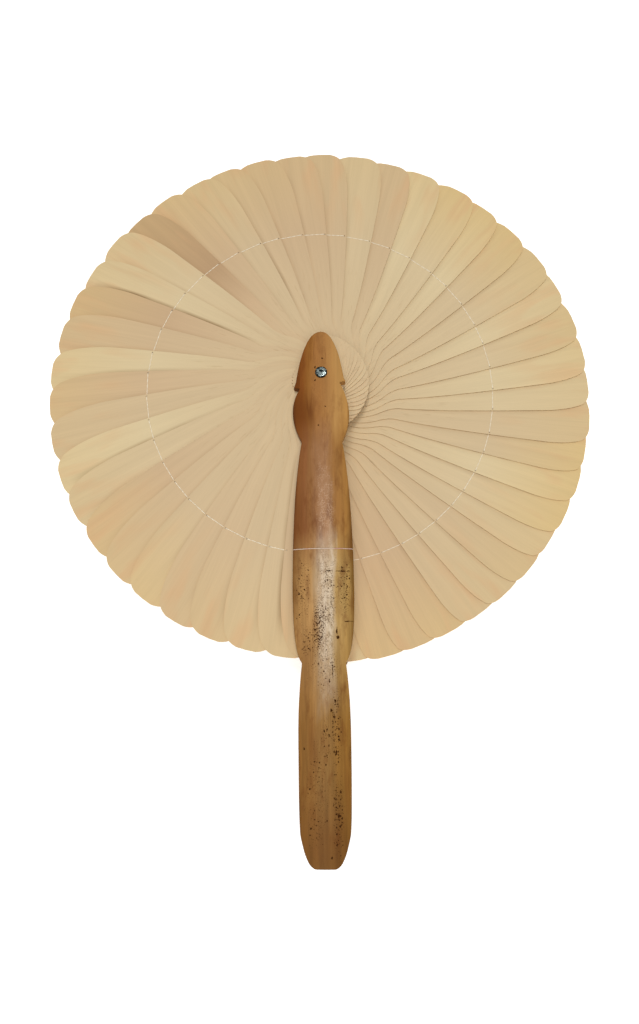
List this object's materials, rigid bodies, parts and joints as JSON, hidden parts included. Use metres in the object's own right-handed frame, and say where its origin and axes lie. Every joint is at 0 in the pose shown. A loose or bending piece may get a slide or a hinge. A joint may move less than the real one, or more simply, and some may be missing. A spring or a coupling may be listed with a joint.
{
  "type": "folding hand fan",
  "caption": "Round folding hand fan: thin pale wood blades turn on a nail between bamboo guards that form the handle, and a thread links the blades.",
  "frame": {"origin": "the nail's axis at the back of the rear guard, where the fan rests", "axes": "+Z along the nail, from the back to the front; -Y along the guards, towards the grip"},
  "size_m": [0.25, 0.3294, 0.0391],
  "materials": {
    "bamboo": "worn, half gloss",
    "veneer_pale": "bare, matt",
    "veneer_tan": "bare, matt",
    "veneer_pink": "bare, matt",
    "steel": "hammered",
    "thread": "cotton"
  },
  "bodies": {
    "rear_guard": {"rear_guard": "bamboo", "pivot_nail": "steel", "link_thread": "thread"},
    "front_guard": {"front_guard": "bamboo"},
    "blade_01": {"blade_01": "veneer_pink"},
    "blade_02": {"blade_02": "veneer_tan"},
    "blade_03": {"blade_03": "veneer_pale"},
    "blade_04": {"blade_04": "veneer_pale"},
    "blade_05": {"blade_05": "veneer_pink"},
    "blade_06": {"blade_06": "veneer_tan"},
    "blade_07": {"blade_07": "veneer_pale"},
    "blade_08": {"blade_08": "veneer_pale"},
    "blade_09": {"blade_09": "veneer_pink"},
    "blade_10": {"blade_10": "veneer_tan"},
    "blade_11": {"blade_11": "veneer_pale"},
    "blade_12": {"blade_12": "veneer_pale"},
    "blade_13": {"blade_13": "veneer_pink"},
    "blade_14": {"blade_14": "veneer_tan"},
    "blade_15": {"blade_15": "veneer_pale"},
    "blade_16": {"blade_16": "veneer_pale"},
    "blade_17": {"blade_17": "veneer_pink"},
    "blade_18": {"blade_18": "veneer_tan"},
    "blade_19": {"blade_19": "veneer_pale"},
    "blade_20": {"blade_20": "veneer_pale"},
    "blade_21": {"blade_21": "veneer_pink"},
    "blade_22": {"blade_22": "veneer_tan"},
    "blade_23": {"blade_23": "veneer_pale"},
    "blade_24": {"blade_24": "veneer_pale"},
    "blade_25": {"blade_25": "veneer_pink"},
    "blade_26": {"blade_26": "veneer_tan"},
    "blade_27": {"blade_27": "veneer_pale"},
    "blade_28": {"blade_28": "veneer_pale"},
    "blade_29": {"blade_29": "veneer_pink"},
    "blade_30": {"blade_30": "veneer_tan"},
    "blade_31": {"blade_31": "veneer_pale"},
    "blade_32": {"blade_32": "veneer_pale"},
    "blade_33": {"blade_33": "veneer_pink"},
    "blade_34": {"blade_34": "veneer_tan"},
    "blade_35": {"blade_35": "veneer_pale"},
    "blade_36": {"blade_36": "veneer_pale"},
    "blade_37": {"blade_37": "veneer_pink"},
    "blade_38": {"blade_38": "veneer_tan"},
    "blade_39": {"blade_39": "veneer_pale"},
    "blade_40": {"blade_40": "veneer_pale"},
    "blade_41": {"blade_41": "veneer_pink"},
    "blade_42": {"blade_42": "veneer_tan"},
    "blade_43": {"blade_43": "veneer_pale"},
    "blade_44": {"blade_44": "veneer_pale"},
    "blade_45": {"blade_45": "veneer_pink"},
    "blade_46": {"blade_46": "veneer_tan"},
    "blade_47": {"blade_47": "veneer_pale"}
  },
  "joints": [
    {"name": "guard_swing", "type": "hinge", "parent": "rear_guard", "child": "front_guard", "pos_m": [0, 0, 0], "axis": [0, 0, -1], "range_deg": [0, 360], "deforming": ["link_thread"]},
    {"name": "blade_01_swing", "type": "hinge", "parent": "rear_guard", "child": "blade_01", "pos_m": [0, 0, 0], "axis": [0, 0, -1], "range_deg": [0, 357.8]},
    {"name": "blade_02_swing", "type": "hinge", "parent": "rear_guard", "child": "blade_02", "pos_m": [0, 0, 0], "axis": [0, 0, -1], "range_deg": [0, 352.45]},
    {"name": "blade_03_swing", "type": "hinge", "parent": "rear_guard", "child": "blade_03", "pos_m": [0, 0, 0], "axis": [0, 0, -1], "range_deg": [0, 344.81]},
    {"name": "blade_04_swing", "type": "hinge", "parent": "rear_guard", "child": "blade_04", "pos_m": [0, 0, 0], "axis": [0, 0, -1], "range_deg": [0, 337.29]},
    {"name": "blade_05_swing", "type": "hinge", "parent": "rear_guard", "child": "blade_05", "pos_m": [0, 0, 0], "axis": [0, 0, -1], "range_deg": [0, 329.9]},
    {"name": "blade_06_swing", "type": "hinge", "parent": "rear_guard", "child": "blade_06", "pos_m": [0, 0, 0], "axis": [0, 0, -1], "range_deg": [0, 321.96]},
    {"name": "blade_07_swing", "type": "hinge", "parent": "rear_guard", "child": "blade_07", "pos_m": [0, 0, 0], "axis": [0, 0, -1], "range_deg": [0, 314.55]},
    {"name": "blade_08_swing", "type": "hinge", "parent": "rear_guard", "child": "blade_08", "pos_m": [0, 0, 0], "axis": [0, 0, -1], "range_deg": [0, 306.79]},
    {"name": "blade_09_swing", "type": "hinge", "parent": "rear_guard", "child": "blade_09", "pos_m": [0, 0, 0], "axis": [0, 0, -1], "range_deg": [0, 298.49]},
    {"name": "blade_10_swing", "type": "hinge", "parent": "rear_guard", "child": "blade_10", "pos_m": [0, 0, 0], "axis": [0, 0, -1], "range_deg": [0, 291.08]},
    {"name": "blade_11_swing", "type": "hinge", "parent": "rear_guard", "child": "blade_11", "pos_m": [0, 0, 0], "axis": [0, 0, -1], "range_deg": [0, 282.65]},
    {"name": "blade_12_swing", "type": "hinge", "parent": "rear_guard", "child": "blade_12", "pos_m": [0, 0, 0], "axis": [0, 0, -1], "range_deg": [0, 274.31]},
    {"name": "blade_13_swing", "type": "hinge", "parent": "rear_guard", "child": "blade_13", "pos_m": [0, 0, 0], "axis": [0, 0, -1], "range_deg": [0, 266.81]},
    {"name": "blade_14_swing", "type": "hinge", "parent": "rear_guard", "child": "blade_14", "pos_m": [0, 0, 0], "axis": [0, 0, -1], "range_deg": [0, 257.88]},
    {"name": "blade_15_swing", "type": "hinge", "parent": "rear_guard", "child": "blade_15", "pos_m": [0, 0, 0], "axis": [0, 0, -1], "range_deg": [0, 250.04]},
    {"name": "blade_16_swing", "type": "hinge", "parent": "rear_guard", "child": "blade_16", "pos_m": [0, 0, 0], "axis": [0, 0, -1], "range_deg": [0, 242.4]},
    {"name": "blade_17_swing", "type": "hinge", "parent": "rear_guard", "child": "blade_17", "pos_m": [0, 0, 0], "axis": [0, 0, -1], "range_deg": [0, 233.5]},
    {"name": "blade_18_swing", "type": "hinge", "parent": "rear_guard", "child": "blade_18", "pos_m": [0, 0, 0], "axis": [0, 0, -1], "range_deg": [0, 226.43]},
    {"name": "blade_19_swing", "type": "hinge", "parent": "rear_guard", "child": "blade_19", "pos_m": [0, 0, 0], "axis": [0, 0, -1], "range_deg": [0, 218.5]},
    {"name": "blade_20_swing", "type": "hinge", "parent": "rear_guard", "child": "blade_20", "pos_m": [0, 0, 0], "axis": [0, 0, -1], "range_deg": [0, 210.1]},
    {"name": "blade_21_swing", "type": "hinge", "parent": "rear_guard", "child": "blade_21", "pos_m": [0, 0, 0], "axis": [0, 0, -1], "range_deg": [0, 203.48]},
    {"name": "blade_22_swing", "type": "hinge", "parent": "rear_guard", "child": "blade_22", "pos_m": [0, 0, 0], "axis": [0, 0, -1], "range_deg": [0, 195.08]},
    {"name": "blade_23_swing", "type": "hinge", "parent": "rear_guard", "child": "blade_23", "pos_m": [0, 0, 0], "axis": [0, 0, -1], "range_deg": [0, 187.29]},
    {"name": "blade_24_swing", "type": "hinge", "parent": "rear_guard", "child": "blade_24", "pos_m": [0, 0, 0], "axis": [0, 0, -1], "range_deg": [0, 180.42]},
    {"name": "blade_25_swing", "type": "hinge", "parent": "rear_guard", "child": "blade_25", "pos_m": [0, 0, 0], "axis": [0, 0, -1], "range_deg": [0, 171.51]},
    {"name": "blade_26_swing", "type": "hinge", "parent": "rear_guard", "child": "blade_26", "pos_m": [0, 0, 0], "axis": [0, 0, -1], "range_deg": [0, 164.14]},
    {"name": "blade_27_swing", "type": "hinge", "parent": "rear_guard", "child": "blade_27", "pos_m": [0, 0, 0], "axis": [0, 0, -1], "range_deg": [0, 156.44]},
    {"name": "blade_28_swing", "type": "hinge", "parent": "rear_guard", "child": "blade_28", "pos_m": [0, 0, 0], "axis": [0, 0, -1], "range_deg": [0, 147.35]},
    {"name": "blade_29_swing", "type": "hinge", "parent": "rear_guard", "child": "blade_29", "pos_m": [0, 0, 0], "axis": [0, 0, -1], "range_deg": [0, 140.15]},
    {"name": "blade_30_swing", "type": "hinge", "parent": "rear_guard", "child": "blade_30", "pos_m": [0, 0, 0], "axis": [0, 0, -1], "range_deg": [0, 131.65]},
    {"name": "blade_31_swing", "type": "hinge", "parent": "rear_guard", "child": "blade_31", "pos_m": [0, 0, 0], "axis": [0, 0, -1], "range_deg": [0, 122.98]},
    {"name": "blade_32_swing", "type": "hinge", "parent": "rear_guard", "child": "blade_32", "pos_m": [0, 0, 0], "axis": [0, 0, -1], "range_deg": [0, 115.84]},
    {"name": "blade_33_swing", "type": "hinge", "parent": "rear_guard", "child": "blade_33", "pos_m": [0, 0, 0], "axis": [0, 0, -1], "range_deg": [0, 107.1]},
    {"name": "blade_34_swing", "type": "hinge", "parent": "rear_guard", "child": "blade_34", "pos_m": [0, 0, 0], "axis": [0, 0, -1], "range_deg": [0, 99.34]},
    {"name": "blade_35_swing", "type": "hinge", "parent": "rear_guard", "child": "blade_35", "pos_m": [0, 0, 0], "axis": [0, 0, -1], "range_deg": [0, 92.25]},
    {"name": "blade_36_swing", "type": "hinge", "parent": "rear_guard", "child": "blade_36", "pos_m": [0, 0, 0], "axis": [0, 0, -1], "range_deg": [0, 83.93]},
    {"name": "blade_37_swing", "type": "hinge", "parent": "rear_guard", "child": "blade_37", "pos_m": [0, 0, 0], "axis": [0, 0, -1], "range_deg": [0, 77.09]},
    {"name": "blade_38_swing", "type": "hinge", "parent": "rear_guard", "child": "blade_38", "pos_m": [0, 0, 0], "axis": [0, 0, -1], "range_deg": [0, 69.99]},
    {"name": "blade_39_swing", "type": "hinge", "parent": "rear_guard", "child": "blade_39", "pos_m": [0, 0, 0], "axis": [0, 0, -1], "range_deg": [0, 62.39]},
    {"name": "blade_40_swing", "type": "hinge", "parent": "rear_guard", "child": "blade_40", "pos_m": [0, 0, 0], "axis": [0, 0, -1], "range_deg": [0, 55.98]},
    {"name": "blade_41_swing", "type": "hinge", "parent": "rear_guard", "child": "blade_41", "pos_m": [0, 0, 0], "axis": [0, 0, -1], "range_deg": [0, 48.79]},
    {"name": "blade_42_swing", "type": "hinge", "parent": "rear_guard", "child": "blade_42", "pos_m": [0, 0, 0], "axis": [0, 0, -1], "range_deg": [0, 41.73]},
    {"name": "blade_43_swing", "type": "hinge", "parent": "rear_guard", "child": "blade_43", "pos_m": [0, 0, 0], "axis": [0, 0, -1], "range_deg": [0, 35.17]},
    {"name": "blade_44_swing", "type": "hinge", "parent": "rear_guard", "child": "blade_44", "pos_m": [0, 0, 0], "axis": [0, 0, -1], "range_deg": [0, 27.93]},
    {"name": "blade_45_swing", "type": "hinge", "parent": "rear_guard", "child": "blade_45", "pos_m": [0, 0, 0], "axis": [0, 0, -1], "range_deg": [0, 21.04]},
    {"name": "blade_46_swing", "type": "hinge", "parent": "rear_guard", "child": "blade_46", "pos_m": [0, 0, 0], "axis": [0, 0, -1], "range_deg": [0, 14.12]},
    {"name": "blade_47_swing", "type": "hinge", "parent": "rear_guard", "child": "blade_47", "pos_m": [0, 0, 0], "axis": [0, 0, -1], "range_deg": [0, 6.99]}
  ],
  "couplings": [
    {"joint": "blade_01_swing", "follows": "guard_swing", "ratio": 0.99389},
    {"joint": "blade_02_swing", "follows": "guard_swing", "ratio": 0.97903},
    {"joint": "blade_03_swing", "follows": "guard_swing", "ratio": 0.95782},
    {"joint": "blade_04_swing", "follows": "guard_swing", "ratio": 0.93692},
    {"joint": "blade_05_swing", "follows": "guard_swing", "ratio": 0.91638},
    {"joint": "blade_06_swing", "follows": "guard_swing", "ratio": 0.89433},
    {"joint": "blade_07_swing", "follows": "guard_swing", "ratio": 0.87374},
    {"joint": "blade_08_swing", "follows": "guard_swing", "ratio": 0.8522},
    {"joint": "blade_09_swing", "follows": "guard_swing", "ratio": 0.82914},
    {"joint": "blade_10_swing", "follows": "guard_swing", "ratio": 0.80854},
    {"joint": "blade_11_swing", "follows": "guard_swing", "ratio": 0.78512},
    {"joint": "blade_12_swing", "follows": "guard_swing", "ratio": 0.76197},
    {"joint": "blade_13_swing", "follows": "guard_swing", "ratio": 0.74115},
    {"joint": "blade_14_swing", "follows": "guard_swing", "ratio": 0.71634},
    {"joint": "blade_15_swing", "follows": "guard_swing", "ratio": 0.69457},
    {"joint": "blade_16_swing", "follows": "guard_swing", "ratio": 0.67333},
    {"joint": "blade_17_swing", "follows": "guard_swing", "ratio": 0.64862},
    {"joint": "blade_18_swing", "follows": "guard_swing", "ratio": 0.62896},
    {"joint": "blade_19_swing", "follows": "guard_swing", "ratio": 0.60694},
    {"joint": "blade_20_swing", "follows": "guard_swing", "ratio": 0.58361},
    {"joint": "blade_21_swing", "follows": "guard_swing", "ratio": 0.56522},
    {"joint": "blade_22_swing", "follows": "guard_swing", "ratio": 0.54188},
    {"joint": "blade_23_swing", "follows": "guard_swing", "ratio": 0.52025},
    {"joint": "blade_24_swing", "follows": "guard_swing", "ratio": 0.50115},
    {"joint": "blade_25_swing", "follows": "guard_swing", "ratio": 0.47642},
    {"joint": "blade_26_swing", "follows": "guard_swing", "ratio": 0.45593},
    {"joint": "blade_27_swing", "follows": "guard_swing", "ratio": 0.43456},
    {"joint": "blade_28_swing", "follows": "guard_swing", "ratio": 0.40931},
    {"joint": "blade_29_swing", "follows": "guard_swing", "ratio": 0.38931},
    {"joint": "blade_30_swing", "follows": "guard_swing", "ratio": 0.3657},
    {"joint": "blade_31_swing", "follows": "guard_swing", "ratio": 0.34161},
    {"joint": "blade_32_swing", "follows": "guard_swing", "ratio": 0.32179},
    {"joint": "blade_33_swing", "follows": "guard_swing", "ratio": 0.29751},
    {"joint": "blade_34_swing", "follows": "guard_swing", "ratio": 0.27595},
    {"joint": "blade_35_swing", "follows": "guard_swing", "ratio": 0.25625},
    {"joint": "blade_36_swing", "follows": "guard_swing", "ratio": 0.23314},
    {"joint": "blade_37_swing", "follows": "guard_swing", "ratio": 0.21414},
    {"joint": "blade_38_swing", "follows": "guard_swing", "ratio": 0.19441},
    {"joint": "blade_39_swing", "follows": "guard_swing", "ratio": 0.17329},
    {"joint": "blade_40_swing", "follows": "guard_swing", "ratio": 0.15549},
    {"joint": "blade_41_swing", "follows": "guard_swing", "ratio": 0.13553},
    {"joint": "blade_42_swing", "follows": "guard_swing", "ratio": 0.11591},
    {"joint": "blade_43_swing", "follows": "guard_swing", "ratio": 0.097697},
    {"joint": "blade_44_swing", "follows": "guard_swing", "ratio": 0.077588},
    {"joint": "blade_45_swing", "follows": "guard_swing", "ratio": 0.058427},
    {"joint": "blade_46_swing", "follows": "guard_swing", "ratio": 0.039214},
    {"joint": "blade_47_swing", "follows": "guard_swing", "ratio": 0.019409}
  ]
}
